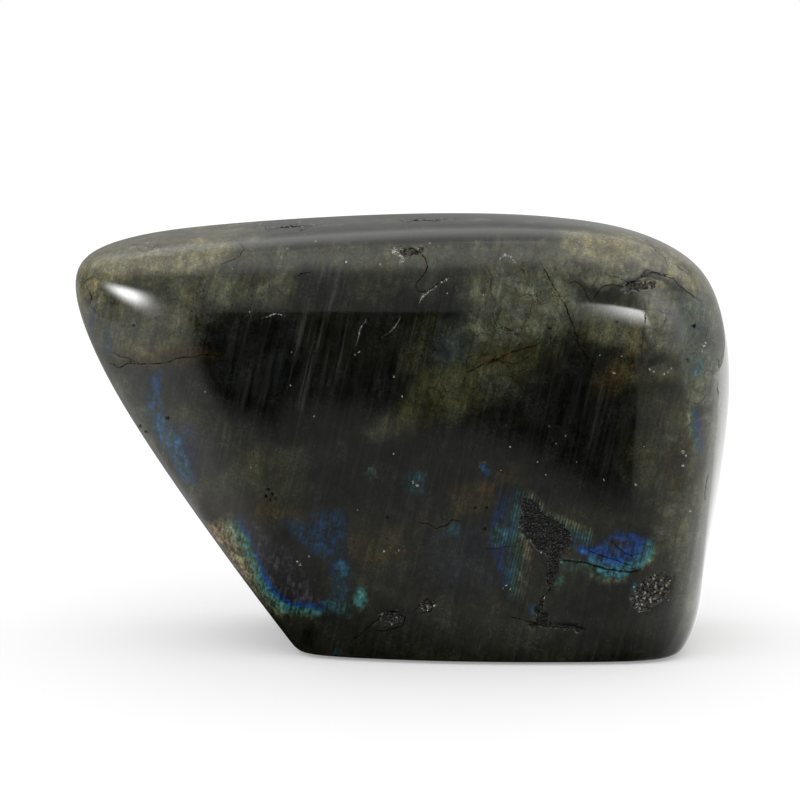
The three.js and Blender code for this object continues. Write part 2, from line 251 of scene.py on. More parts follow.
# Cracks: half width in mm, tint, strength and course. The tint is 0 for an open
# crack, 1 for one with rust beside it, -1 for a pale fibre and -2 for a white chip.
FRONT_CRACKS = {
    "brown line": (0.28, 1, 0.8, [(110, 362), (118, 368), (130, 363), (146, 364), (160, 364), (176, 359), (190, 357), (206, 354), (222, 356)]),
    "brown line rim": (0.25, 1, 0.6, [(112, 352), (124, 357), (138, 362)]),
    "olive crack": (0.3, 1, 1, [(466, 372), (476, 369), (486, 362), (500, 358), (507, 355), (516, 351), (530, 347), (540, 342)]),
    "olive crack lower": (0.25, 1, 0.8, [(486, 362), (500, 361), (512, 364), (522, 361), (534, 352)]),
    "diagonal upper": (0.28, 0.2, 0.9, [(541, 264), (548, 276), (553, 285), (560, 297)]),
    "diagonal middle": (0.3, 0.1, 1, [(560, 297), (567, 309), (572, 322), (576, 334), (580, 346), (590, 362), (600, 378)]),
    "vein": (0.32, 0, 0.6, [(566, 283), (576, 281), (583, 288), (587, 296), (592, 302), (597, 293), (604, 286), (613, 284), (622, 287), (634, 281), (643, 277), (652, 273), (664, 275), (674, 280), (682, 288), (690, 294), (700, 300)]),
    "vein upper": (0.25, 0, 0.5, [(604, 272), (610, 276), (618, 277), (628, 283), (640, 284)]),
    "vein far": (0.28, 0, 0.6, [(640, 278), (646, 270), (656, 272), (668, 274)]),
    "tick by the painted glow": (0.28, 0, 1, [(645, 306), (645, 314), (644, 326)]),
    "column edge": (0.18, 0.7, 0.8, [(644, 326), (642, 342), (642, 360)]),
    "tick in the painted glow": (0.22, 0, 0.8, [(666, 312), (666, 320), (664, 326)]),
    "shoulder tick": (0.22, 0.4, 0.8, [(674, 264), (680, 268), (686, 272)]),
    "shoulder line": (0.18, 0.6, 0.6, [(640, 232), (652, 246), (664, 258), (668, 268)]),
    "brow arc": (0.3, 0.8, 0.9, [(404, 250), (412, 248), (419, 252), (425, 258), (427, 266), (424, 275), (416, 284), (418, 292)]),
    "brow arc foot": (0.22, 0, 0.8, [(418, 292), (426, 291), (434, 286), (442, 280), (450, 277)]),
    "black tick": (0.3, 0, 1, [(295, 276), (301, 274), (309, 272)]),
    "black ticks right": (0.3, 0, 1, [(520, 268), (525, 271), (525, 277)]),
    "black tick upper": (0.2, 0, 1, [(522, 264), (529, 261)]),
    "dark thread": (0.16, 0.2, 0.7, [(486, 266), (492, 276), (490, 290), (496, 302), (492, 316), (498, 330)]),
    "top crack": (0.25, 0.8, 0.8, [(252, 228), (262, 224), (268, 231), (280, 228), (296, 224), (300, 231), (312, 226)]),
    "top crack two": (0.25, 0.3, 0.9, [(396, 219), (406, 223), (420, 218), (434, 222), (446, 218)]),
    "top left crack": (0.18, 0.8, 0.6, [(236, 240), (244, 248), (240, 256), (228, 262), (220, 264)]),
    "bone cracks": (0.16, 0.9, 0.7, [(132, 244), (142, 252), (152, 250), (158, 244), (160, 238)]),
    "nose crack": (0.2, 0.6, 0.8, [(82, 286), (88, 279), (94, 277), (99, 280)]),
    "nose crack two": (0.2, 0.6, 0.7, [(88, 288), (92, 296), (90, 306)]),
    "brow stroke": (0.5, -2, 0.9, [(420, 301), (425, 294), (431, 289), (437, 285), (443, 281), (450, 277)]),
    "left stroke": (0.3, -2, 0.7, [(357, 341), (359, 331), (365, 321)]),
    "left stroke two": (0.25, -2, 0.7, [(385, 336), (392, 330), (399, 321)]),
    "white tick": (0.4, -2, 0.8, [(265, 317), (274, 314), (282, 315)]),
    "long chip": (0.5, -2, 0.9, [(500, 259), (504, 254), (510, 257), (513, 260)]),
    "left of the patch": (0.22, 0, 1, [(521, 521), (527, 528), (531, 538), (538, 546)]),
    "blue crack": (0.45, 0, 1, [(559, 560), (572, 561), (586, 563), (600, 567), (616, 571), (632, 572), (642, 568)]),
    "blue crack upper": (0.32, 0, 0.9, [(588, 550), (602, 556), (616, 560), (632, 566)]),
    "blue crack across": (0.28, 0, 0.8, [(612, 541), (622, 552), (632, 556), (644, 552)]),
    "stripe crack": (0.18, 0.3, 0.8, [(484, 548), (496, 549), (510, 546), (524, 548)]),
    "rust thread": (0.3, 0.9, 0.9, [(418, 522), (428, 524), (436, 528), (446, 525), (452, 520), (460, 521)]),
    "low loop": (0.3, 0, 0.8, [(352, 640), (364, 632), (374, 622), (382, 614), (394, 612), (406, 617), (402, 626), (388, 630), (374, 632)]),
    "low loop two": (0.3, 0.3, 0.9, [(414, 612), (420, 603), (428, 599), (434, 606), (430, 612), (420, 613)]),
    "low dashes": (0.3, 0, 0.8, [(508, 616), (518, 619), (530, 622), (544, 626), (560, 628), (574, 626), (586, 630)]),
    "flank tick": (0.22, 0, 0.9, [(708, 330), (705, 340)]),
    "flank tick two": (0.22, 0, 0.9, [(706, 396), (701, 402)]),
    "rim ticks": (0.22, 0, 0.9, [(718, 358), (719, 372)]),
    "rim ticks two": (0.2, 0, 0.9, [(717, 384), (718, 398)]),
    "rim ticks three": (0.2, 0, 0.9, [(708, 474), (706, 486), (704, 500)]),
}

BACK_CRACKS = {
    "long crack": (0.3, 0.9, 1, [(200, 300), (240, 322), (290, 330), (330, 352), (390, 350), (430, 372), (480, 380)]),
    "steep crack": (0.28, 0, 1, [(420, 250), (432, 290), (452, 330), (460, 380), (480, 430)]),
    "low crack": (0.28, 0.3, 0.9, [(150, 520), (210, 540), (250, 530), (300, 560), (360, 590)]),
    "pit vein": (0.4, 0, 1, [(470, 420), (490, 440), (500, 470), (520, 500)]),
    "branch": (0.22, 0.2, 0.8, [(330, 352), (340, 390), (330, 430)]),
}

CRACKS = {"front": FRONT_CRACKS, "back": BACK_CRACKS}

# Flashes of blue, the stone's sheen painted into its colour: outline, width of
# its soft edge, strength and how much the growth lamellae show. A flash has
# either one hue, from 0 (rust) by 0.4 (green) and 0.7 (blue) to 1 (dusk), or a
# rim: the line where it is green, with the gold on its left hand and the blue on
# its right as one walks along it, and the widths of the gold and of the blue.
FRONT_FLASHES = {
    "foot arc": dict(
        outline=[(208, 524), (240, 516), (264, 530), (290, 552), (306, 580), (322, 600), (318, 614), (280, 612), (256, 596), (232, 566)],
        soft=16, strength=1.15, lamellae=0.2,
        rim=[(320, 611), (300, 609), (284, 604), (271, 593), (263, 580), (257, 564), (251, 548), (243, 534), (236, 520)], gold=30, blue=5),
    "blue sheet": dict(
        outline=[(288, 522), (306, 521), (322, 514), (342, 512), (347, 530), (340, 545), (345, 558), (328, 556), (314, 552), (302, 543), (294, 532)],
        soft=16, strength=0.42, lamellae=0.2, hue=0.59),
    "blue spot": dict(
        outline=[(335, 566), (341, 560), (348, 567), (346, 577), (338, 580), (333, 573)],
        soft=8, strength=1.2, lamellae=0, hue=0.57),
    "blue spot tail": dict(
        outline=[(330, 560), (346, 562), (352, 586), (346, 604), (336, 600), (334, 582)],
        soft=12, strength=0.5, lamellae=0.3, hue=0.58),
    "teal spot": dict(
        outline=[(355, 594), (360, 586), (366, 590), (368, 602), (360, 608), (354, 604)],
        soft=6, strength=1.2, lamellae=0, hue=0.44),
    "low teal": dict(
        outline=[(318, 598), (350, 602), (350, 614), (322, 612)],
        soft=9, strength=0.6, lamellae=0.2, hue=0.5),
    "slant flash": dict(
        outline=[(146, 392), (158, 392), (166, 420), (180, 436), (190, 460), (194, 484), (186, 486), (172, 462), (158, 436), (148, 414)],
        soft=12, strength=0.8, lamellae=0.15, hue=0.57),
    "slant flash core": dict(
        outline=[(168, 438), (178, 436), (184, 448), (186, 462), (176, 458)],
        soft=10, strength=1.4, lamellae=0.15, hue=0.6),
    "slant dusk": dict(
        outline=[(176, 420), (196, 424), (200, 452), (198, 478), (188, 474), (180, 444)],
        soft=14, strength=0.5, lamellae=0.1, hue=0.8),
    "slant upper": dict(
        outline=[(152, 372), (162, 372), (160, 396), (150, 396)],
        soft=10, strength=0.5, lamellae=0.1, hue=0.6),
    "nose flash": dict(
        outline=[(88, 302), (97, 300), (96, 322), (90, 330)],
        soft=10, strength=0.4, lamellae=0, hue=0.66),
    "nose flash two": dict(
        outline=[(102, 326), (112, 330), (114, 356), (106, 352)],
        soft=9, strength=0.4, lamellae=0, hue=0.54),
    "stripes": dict(
        outline=[(486, 524), (496, 506), (506, 496), (518, 490), (529, 496), (524, 515), (532, 540), (530, 575), (520, 600), (510, 596), (500, 576), (488, 552)],
        soft=16, strength=0.42, lamellae=0.75,
        rim=[(524, 490), (517, 520), (516, 545), (516, 570), (514, 600)], gold=22, blue=26),
    "stripe strokes": dict(
        outline=[(489, 530), (496, 522), (506, 524), (510, 540), (498, 546), (490, 542)],
        soft=9, strength=0.75, lamellae=0.8, hue=0.5),
    "stripe dusk": dict(
        outline=[(430, 532), (486, 520), (500, 560), (496, 590), (440, 584)],
        soft=24, strength=0.3, lamellae=0.5, hue=0.84),
    "teal over the dusk": dict(
        outline=[(440, 522), (462, 524), (466, 536), (444, 540)],
        soft=12, strength=0.4, lamellae=0.3, hue=0.52),
    "upper rim": dict(
        outline=[(522, 492), (532, 493), (543, 507), (556, 517), (576, 522), (592, 530), (592, 546), (578, 556), (564, 530), (546, 520), (530, 500)],
        soft=6, strength=0.55, lamellae=0.95,
        rim=[(524, 497), (535, 509), (548, 521), (564, 528), (582, 534), (600, 544)], gold=18, blue=26),
    "right sheet": dict(
        outline=[(578, 552), (592, 548), (606, 541), (620, 540), (636, 542), (652, 540), (657, 547), (652, 560), (642, 568), (626, 570), (606, 568), (590, 562)],
        soft=8, strength=1.5, lamellae=0.05,
        rim=[(656, 540), (650, 556), (641, 566), (628, 572), (611, 574), (597, 569), (580, 564), (558, 561)], gold=14, blue=22),
    "sheet upper wing": dict(
        outline=[(608, 538), (618, 532), (632, 532), (644, 538), (656, 542), (650, 548), (632, 544), (614, 544)],
        soft=8, strength=0.7, lamellae=0.1, hue=0.66),
    "cyan sliver": dict(
        outline=[(596, 568), (606, 566), (618, 568), (628, 573), (620, 578), (606, 577)],
        soft=5, strength=1.8, lamellae=0, hue=0.5),
    "pale line": dict(
        outline=[(558, 558), (576, 561), (594, 566), (594, 571), (576, 567), (560, 564)],
        soft=5, strength=0.9, lamellae=0.1, hue=0.42),
    "yellow fringe": dict(
        outline=[(590, 570), (604, 577), (622, 579), (628, 576), (624, 583), (606, 583), (592, 577)],
        soft=6, strength=0.45, lamellae=0.1, hue=0.32),
    "under the sheet": dict(
        outline=[(566, 562), (590, 566), (586, 574), (566, 570)],
        soft=6, strength=0.25, lamellae=0.3, hue=0.4),
    "teal by the pit": dict(
        outline=[(630, 582), (640, 584), (640, 596), (632, 592)],
        soft=6, strength=0.5, lamellae=0, hue=0.5),
    "rim flash": dict(
        outline=[(686, 412), (700, 406), (706, 424), (704, 448), (698, 458), (690, 440)],
        soft=8, strength=0.5, lamellae=0.1,
        rim=[(699, 458), (695, 440), (692, 424), (691, 408)], gold=7, blue=8),
    "flank stripes": dict(
        outline=[(676, 298), (706, 294), (714, 340), (706, 376), (690, 384), (678, 340)],
        soft=16, strength=0.26, lamellae=0.9, hue=0.5),
    "flank specks": dict(
        outline=[(692, 360), (704, 358), (704, 374), (692, 376)],
        soft=6, strength=0.7, lamellae=0.2, hue=0.47),
    "grey glint": dict(
        outline=[(444, 340), (464, 340), (464, 362), (442, 364)],
        soft=18, strength=0.14, lamellae=0.2, hue=0.56),
    "teal dot": dict(
        outline=[(367, 473), (373, 470), (376, 476), (371, 480)], soft=4, strength=0.6, lamellae=0, hue=0.45),
    "teal dots": dict(
        outline=[(404, 474), (424, 470), (424, 492), (406, 492)], soft=10, strength=0.35, lamellae=0.3, hue=0.5),
    "blue dot": dict(
        outline=[(481, 464), (487, 463), (489, 474), (484, 476)], soft=5, strength=0.8, lamellae=0, hue=0.6),
    "low blue dot": dict(
        outline=[(530, 604), (536, 606), (536, 616), (530, 614)], soft=5, strength=0.6, lamellae=0, hue=0.58),
    "low green dots": dict(
        outline=[(552, 578), (560, 576), (564, 584), (554, 586)], soft=5, strength=0.5, lamellae=0, hue=0.42),
    "foot teal dot": dict(
        outline=[(333, 650), (341, 649), (341, 655), (334, 655)], soft=4, strength=0.5, lamellae=0, hue=0.5),
}

BACK_FLASHES = {
    "back sheet": dict(
        outline=[(176, 484), (204, 458), (236, 462), (262, 440), (296, 452), (322, 488), (300, 512), (292, 532), (250, 528), (220, 544), (192, 528)],
        soft=14, strength=1.2, lamellae=0.4,
        rim=[(324, 490), (300, 526), (250, 540), (200, 532), (170, 500)], gold=16, blue=44),
    "back band": dict(
        outline=[(520, 300), (560, 290), (600, 330), (620, 400), (600, 440), (570, 400), (530, 350)],
        soft=16, strength=0.7, lamellae=0.8,
        rim=[(600, 450), (570, 400), (540, 350), (500, 290)], gold=14, blue=44),
    "back spots": dict(
        outline=[(380, 560), (410, 550), (420, 580), (390, 600)], soft=12, strength=0.7, lamellae=0.2, hue=0.6),
}

FLASHES = {"front": FRONT_FLASHES, "back": BACK_FLASHES}

# Chips and grains that catch the light or lie dark: radius, tint from -1 (black)
# by 0 (white) to 1 (rust), and their places.
FRONT_GRAINS = {
    "brow chips": (4.0, 0, [(394, 251), (400, 254), (402, 260), (409, 250)]),
    "brow rust": (3.2, 1, [(416, 249), (421, 253), (424, 262)]),
    "brow glints": (1.8, 0, [(418, 248), (446, 279), (428, 290)]),
    "glints": (1.5, 0, [(622, 356), (614, 373), (394, 377), (402, 396), (355, 355), (359, 352), (292, 352), (291, 385), (232, 269), (314, 417)]),
    "lobe glints": (1.2, 0, [(549, 427), (556, 444), (577, 462), (541, 479), (555, 483), (604, 480), (538, 462), (566, 436)]),
    "flank glints": (2.0, 0, [(683, 452), (686, 456), (683, 465), (636, 485), (690, 511), (413, 482), (417, 485)]),
    "low glints": (1.4, 0, [(297, 561), (300, 565), (309, 557), (541, 553), (506, 586), (510, 589), (503, 588), (403, 546), (399, 550), (384, 551)]),
    "rust grains": (2.4, 1, [(390, 548), (396, 553), (404, 551), (424, 605), (428, 602), (612, 372), (632, 366), (509, 355), (488, 358)]),
    "upper glints": (1.6, 0, [(148, 243), (152, 246), (158, 250), (146, 248), (260, 224), (300, 222), (430, 243), (624, 271), (287, 249), (316, 241), (346, 262), (380, 264)]),
    "specks by the painted glow": (1.6, 0, [(668, 372), (671, 368), (664, 374), (654, 372), (650, 369), (704, 346), (706, 343), (702, 351)]),
    "black dots": (3.0, -1, [(167, 418), (134, 326), (268, 489), (266, 496), (272, 494), (275, 498), (270, 500), (617, 322), (487, 508), (388, 517), (475, 508), (485, 529), (694, 326), (688, 360), (146, 432), (140, 426)]),
    "black pit": (3.4, -1, [(550, 328)]),
    "pit grains": (2.6, 0, [(644, 605), (653, 585), (668, 584)]),
    "pit rust": (3.4, 1, [(655, 593), (660, 598), (666, 591)]),
}

BACK_GRAINS = {
    "glints": (1.8, 0, [(240, 380), (300, 410), (352, 296), (410, 460), (520, 350), (560, 470), (610, 520)]),
    "cluster": (2.6, 0, [(492, 560), (500, 566), (508, 558), (498, 574), (512, 570)]),
    "black dots": (2.2, -1, [(270, 350), (330, 540), (450, 300), (580, 410), (640, 360)]),
}

GRAINS = {"front": FRONT_GRAINS, "back": BACK_GRAINS}

# The net of the visible surface: the longest edge in mm on the better face and on
# the other sides, and near grains, cracks and flashes with the picture points over
# which it grows from there.
FRONT_EDGE = 1.6
BACK_EDGE = 2.5
FINE_EDGE = 0.5
CRACK_EDGE = 0.85
FLASH_EDGE = 1.15
GRAIN_REACH = (4, 9)
CRACK_REACH = (5, 12)
FLASH_REACH = (8, 20)
CELL = 3
PASSES = 10
FOCUS = CAMERA_LENS / SENSOR * PICTURE


def smooth(value, low, high):
    step = np.clip((value - low) / (high - low), 0, 1)
    return step * step * (3 - 2 * step)


def unit(vectors):
    return vectors / np.linalg.norm(vectors, axis=-1, keepdims=True)


def soft_noise(points, size, octaves=3, shift=0.0):
    """Noise from about -1 to 1, with blotches about as wide as `size` in mm."""
    move = Vector((shift, -shift, 2 * shift))
    places = points / size
    return np.array([noise.fractal(Vector(p) + move, 1.0, 2.0, octaves) for p in places])


def wobble(points, size, reach):
    """Offsets of up to about `reach`, that wander over `size` mm."""
    return reach * np.array([noise.noise_vector(Vector(p)) for p in points / size])[:, :2]


def face_terms():
    """Each face's normal over its softness, and its distance over its softness."""
    side, lean, distance, softness = np.array(list(FACES.values()), float).T
    side, lean = np.radians(side), np.radians(lean)
    normals = np.stack([np.cos(side) * np.cos(lean), -np.sin(lean), np.sin(side) * np.cos(lean)], 1)
    return normals / softness[:, None], distance / softness


PULLS, STARTS = face_terms()


def surface_points(directions):
    """The points of the polished surface on rays from the heart. Each face adds
    exp((normal . p - distance) / softness), and the surface is where the sum is 1."""
    rates = directions @ PULLS.T
    along = np.full(len(directions), 130.0)
    for _ in range(18):
        powers = rates * along[:, None] - STARTS
        highest = powers.max(1)
        shares = np.exp(powers - highest[:, None])
        total = shares.sum(1)
        along -= (highest + np.log(total)) * total / (shares * rates).sum(1)
    return HEART + directions * along[:, None]


def outward(points):
    """The unit normals of the polished surface at its points."""
    powers = (points - HEART) @ PULLS.T - STARTS
    shares = np.exp(powers - powers.max(1, keepdims=True))
    return unit(shares @ PULLS)


def seen_from(view, points, normals):
    """Where the points lie in the picture of a view, and how far they face it."""
    around, above = np.radians(VIEWS[view])
    right = np.array([math.cos(around), math.sin(around), 0])
    ahead = np.array([-math.sin(around), math.cos(around), 0])
    back = np.array([0, 0, math.sin(above)]) - ahead * math.cos(above)
    up = np.cross(back, right)
    gap = points - CAMERA_TARGET - back * CAMERA_DISTANCE
    depth = -gap @ back
    places = np.stack([gap @ right, -gap @ up], 1) * (FOCUS / depth)[:, None] + PICTURE / 2
    facing = -(normals * gap).sum(1) / np.linalg.norm(gap, axis=1)
    return places, facing


def segments(course, closed=False):
    starts = np.array(course, float)
    ways = np.roll(starts, -1, 0) - starts
    if closed:
        return starts, ways
    return starts[:-1], ways[:-1]


def gaps_to(places, starts, ways):
    """From the nearest point of each segment to each place."""
    gaps = places[:, None] - starts
    along = (gaps * ways).sum(2) / np.maximum((ways ** 2).sum(1), 1e-9)
    return gaps - np.clip(along, 0, 1)[..., None] * ways


def beside(places, course):
    """The distance to a line, positive on its right-hand side in the picture."""
    starts, ways = segments(course)
    gaps = gaps_to(places, starts, ways)
    lengths = np.linalg.norm(gaps, axis=2)
    nearest = lengths.argmin(1)
    rows = np.arange(len(places))
    gap, way = gaps[rows, nearest], ways[nearest]
    turn = way[:, 0] * gap[:, 1] - way[:, 1] * gap[:, 0]
    return lengths[rows, nearest] * np.where(turn < 0, -1, 1)


def depth_inside(places, outline):
    """How far inside a closed outline the places lie, negative outside."""
    starts, ways = segments(outline, closed=True)
    distance = np.linalg.norm(gaps_to(places, starts, ways), axis=2).min(1)
    rows = places[:, 1:2]
    crossed = (starts[:, 1] > rows) != (starts[:, 1] + ways[:, 1] > rows)
    slope = ways[:, 0] / np.where(ways[:, 1] == 0, 1, ways[:, 1])
    met = starts[:, 0] + (rows - starts[:, 1]) * slope
    inside = (crossed & (places[:, :1] < met)).sum(1) % 2 == 1
    return np.where(inside, distance, -distance)


def icosphere():
    """Unit directions and triangles of an icosahedron."""
    gold = (1 + math.sqrt(5)) / 2
    corners = [(-1, gold, 0), (1, gold, 0), (-1, -gold, 0), (1, -gold, 0)]
    corners += [(0, -1, gold), (0, 1, gold), (0, -1, -gold), (0, 1, -gold)]
    corners += [(gold, 0, -1), (gold, 0, 1), (-gold, 0, -1), (-gold, 0, 1)]
    triangles = [(0, 11, 5), (0, 5, 1), (0, 1, 7), (0, 7, 10), (0, 10, 11)]
    triangles += [(1, 5, 9), (5, 11, 4), (11, 10, 2), (10, 7, 6), (7, 1, 8)]
    triangles += [(3, 9, 4), (3, 4, 2), (3, 2, 6), (3, 6, 8), (3, 8, 9)]
    triangles += [(4, 9, 5), (2, 4, 11), (6, 2, 10), (8, 6, 7), (9, 8, 1)]
    return unit(np.array(corners, float)), np.array(triangles)


def split_triangles(triangles, middle):
    """Cuts each triangle at the middles of its marked edges. `middle` holds, for
    the edge after each corner, the index of its middle point, or -1."""
    count = (middle >= 0).sum(1)
    kept = [triangles[count == 0]]
    # Turn the triangles whose marked edges aren't the first ones.
    for cuts in (1, 2):
        chosen = count == cuts
        corners, cut = triangles[chosen], middle[chosen]
        marked = (cut >= 0) if cuts == 1 else (cut < 0)
        start = (marked.argmax(1) + cuts - 1) % 3
        order = (start[:, None] + np.arange(3)) % 3
        a, b, c = np.take_along_axis(corners, order, 1).T
        ab, bc, _ = np.take_along_axis(cut, order, 1).T
        if cuts == 1:
            kept += [np.stack([a, ab, c], 1), np.stack([ab, b, c], 1)]
        else:
            kept += [np.stack([ab, b, bc], 1), np.stack([a, ab, bc], 1), np.stack([a, bc, c], 1)]
    a, b, c = triangles[count == 3].T
    ab, bc, ca = middle[count == 3].T
    kept += [np.stack(t, 1) for t in ((a, ab, ca), (ab, b, bc), (ca, bc, c), (ab, bc, ca))]
    return np.concatenate(kept)


def distance_map(courses):
    """The distance to the nearest course at each cell of a picture."""
    ends = [segments(course, closed=len(course) == 1) for course in courses]
    starts = np.concatenate([start for start, _ in ends])
    ways = np.concatenate([way for _, way in ends])
    middles = np.arange(0, PICTURE, CELL) + CELL / 2
    rows = []
    for y in middles:
        places = np.stack([middles, np.full(len(middles), y)], 1)
        rows.append(np.linalg.norm(gaps_to(places, starts, ways), axis=2).min(1))
    return np.array(rows)


def look_up(grid, places):
    index = np.clip((places / CELL).astype(int), 0, len(grid) - 1)
    return grid[index[:, 1], index[:, 0]]


def fine_maps():
    """For each view with markings, the distance to its grains, cracks and flashes."""
    maps = {}
    for view in CRACKS:
        grains = [[place] for _, _, places in GRAINS[view].values() for place in places]
        cracks = [course for _, _, _, course in CRACKS[view].values()]
        rims = [flash.get("rim", flash["outline"]) for flash in FLASHES[view].values()]
        maps[view] = (
            (distance_map(grains), GRAIN_REACH, FINE_EDGE),
            (distance_map(cracks), CRACK_REACH, CRACK_EDGE),
            (distance_map(rims), FLASH_REACH, FLASH_EDGE),
        )
    return maps


def edge_goal(points, maps):
    """The longest edge that the net may have at each place, in mm."""
    normals = outward(points)
    goal = BACK_EDGE + (FRONT_EDGE - BACK_EDGE) * smooth(-normals[:, 1], 0.1, 0.5)
    for view, markings in maps.items():
        places, facing = seen_from(view, points, normals)
        for distances, reach, edge in markings:
            near = np.interp(look_up(distances, places), reach, (edge, BACK_EDGE))
            goal = np.where(facing > 0.1, np.minimum(goal, near), goal)
    rough = np.maximum(scar_reach(points, normals, 1), patch_reach(points, normals, 1))
    return np.where(rough > 0, FINE_EDGE, goal)


def stone_net():
    """Points and triangles of the polished surface, finer where it has markings."""
    maps = fine_maps()
    directions, triangles = icosphere()
    points = surface_points(directions)
    for _ in range(PASSES):
        pairs = np.stack([triangles, np.roll(triangles, -1, 1)], 2).reshape(-1, 2)
        edges, index = np.unique(np.sort(pairs, 1), axis=0, return_inverse=True)
        a, b = points[edges[:, 0]], points[edges[:, 1]]
        length = np.linalg.norm(a - b, axis=1)
        long = length > FINE_EDGE
        long[long] = length[long] > edge_goal((a + b)[long] / 2, maps)
        middles = unit((a + b)[long] / 2 - HEART)
        number = np.full(len(edges), -1)
        number[long] = len(points) + np.arange(long.sum())
        points = np.concatenate([points, surface_points(middles)])
        triangles = split_triangles(triangles, number[index.reshape(-1, 3)])
    return points, triangles


def patch_reach(points, normals, margin=0.0):
    """How far the points lie inside the sunk patch, in mm."""
    places, facing = seen_from("front", points, normals)
    inside = depth_inside(places, PATCH_OUTLINE) * CAMERA_DISTANCE / FOCUS
    return np.where(facing > 0.5, inside + margin, -9.0)


def scar_reach(points, normals, margin=0.0):
    """The share of a scar's depth at each point, from 0 at its edge, times its depth."""
    deepest = np.zeros(len(points))
    for middle, direction, length, width, depth in SCARS.values():
        gap = points - middle
        near = np.linalg.norm(gap, axis=1) < length
        along = unit(np.array(direction, float))
        across = np.cross(normals[near], along)
        u = gap[near] @ along / (length / 2 + margin)
        v = (gap[near] * across).sum(1) / (width / 2 + margin)
        bowl = depth * smooth(1 - np.hypot(u, v), 0, 0.7)
        deepest[near] = np.maximum(deepest[near], bowl)
    return deepest


def sunk(points, normals):
    """How deep the patch and the scars lie under the polish, in mm."""
    ragged = points + np.stack([soft_noise(points, 1.6, 3, shift) for shift in (3, 7, 11)], 1) * 0.9
    patch = smooth(patch_reach(ragged, normals), -0.1, 0.6) * PATCH_DEPTH
    scars = scar_reach(ragged, normals)
    grit = 1 + 0.45 * soft_noise(points, 0.9, 2)
    return patch * grit, scars * grit


def own_normals(points, triangles):
    """The normals of the net itself at its points."""
    a, b, c = points[triangles[:, 0]], points[triangles[:, 1]], points[triangles[:, 2]]
    faces = np.cross(b - a, c - a)
    total = np.zeros_like(points)
    for corner in range(3):
        np.add.at(total, triangles[:, corner], faces)
    return unit(total)


def grown_colors(points):
    """The body colours that the stone has anywhere, as shares of full light."""
    shades = np.array([NIGHT, SLATE, MOSS, OLIVE, SMOKE, ASH]) ** (1 / 2.2)
    pale = 0.34 + 0.34 * soft_noise(points, 34, 4, 5) + 0.2 * soft_noise(points, 9, 3, 8)
    pale += 0.45 * smooth(points[:, 2], 92, 116)
    pale += 0.3 * smooth(np.abs(points[:, 0] - 3), 60, 88)
    pale += 0.2 * soft_noise(points * (1, 1, 0.25), 6, 2, 2)
    step = np.clip(pale, 0, 1) * (len(shades) - 1)
    return np.stack([np.interp(step, range(len(shades)), shades[:, c]) for c in range(3)], 1)


def body_colors(points, normals):
    """The stone's body colour, mixed in the even steps that the eye sees."""
    colors = grown_colors(points)
    drift = wobble(points, 14, 9) + wobble(points, 4, 5) + wobble(points, 1.3, 2)
    for view, zones in ZONES.items():
        places, facing = seen_from(view, points, normals)
        shown = smooth(facing, 0.1, 0.4)
        near = shown > 0
        for color, soft, strength, outline in zones.values():
            weight = smooth(depth_inside((places + drift)[near], outline) / soft, -0.5, 0.5)
            weight = (weight * strength * shown[near])[:, None]
            colors[near] += weight * (np.array(color) ** (1 / 2.2) - colors[near])
    return colors ** 2.2


def flash_field(points, normals):
    """The hue from rust to dusk, the power and the lamellae of the flashes, the painted sheen."""
    field = np.zeros((len(points), 3))
    drift = wobble(points, 5, 2.5) + wobble(points, 1.6, 1.6)
    for view, flashes in FLASHES.items():
        places, facing = seen_from(view, points, normals)
        for flash in flashes.values():
            spots = places + drift
            power = smooth(depth_inside(spots, flash["outline"]) / flash["soft"], -0.5, 0.5)
            power = power * flash["strength"] * smooth(facing, 0.1, 0.4)
            stronger = power > field[:, 1]
            if "rim" in flash:
                side = beside(spots[stronger], flash["rim"])
                hue = 0.46 + 0.46 * np.clip(side / flash["gold"], -1, 0)
                hue = np.minimum(hue + 0.3 * np.maximum(side / flash["blue"], 0), 1)
            else:
                hue = flash["hue"]
            field[stronger, 0] = hue
            field[stronger, 1] = power[stronger]
            field[stronger, 2] = flash["lamellae"]
    return field


def fibre_field(points, normals):
    """How strongly the pale fibres show at each point."""
    places, facing = seen_from("front", points, normals)
    places = places + wobble(points, 9, 6)
    shown = np.full(len(points), 0.18)
    for strength, outline in FIBRES.values():
        shown = np.maximum(shown, strength * smooth(depth_inside(places, outline), -8, 10))
    return shown * smooth(facing, 0.1, 0.4)


def crack_field(points, normals):
    """The distance beside the nearest crack, its half width in mm and its rust."""
    field = np.zeros((len(points), 3))
    nearest = np.full(len(points), 3.0)
    drift = wobble(points, 2.2, 1.2) + wobble(points, 0.8, 0.7)
    for view, cracks in CRACKS.items():
        places, facing = seen_from(view, points, normals)
        scale = CAMERA_DISTANCE / FOCUS
        for width, rust, strength, course in cracks.values():
            ends = np.array(course)
            low, high = ends.min(0) - 12, ends.max(0) + 12
            around = ((places > low) & (places < high)).all(1) & (facing > 0.12)
            side = beside((places + drift)[around], course) * scale
            closer = np.abs(side) < nearest[around]
            rows = np.flatnonzero(around)[closer]
            side = side[closer]
            tips = np.linalg.norm(places[rows][:, None] - ends[[0, -1]], axis=2).min(1)
            thin = 0.6 * width * strength * (0.35 + 0.65 * smooth(tips, 0, 8))
            nearest[rows] = np.abs(side)
            reach = 1 - smooth(np.abs(side), 0.85, 1.4)
            field[rows] = np.stack([side, thin * reach, np.full(len(rows), rust)], 1)
    return field


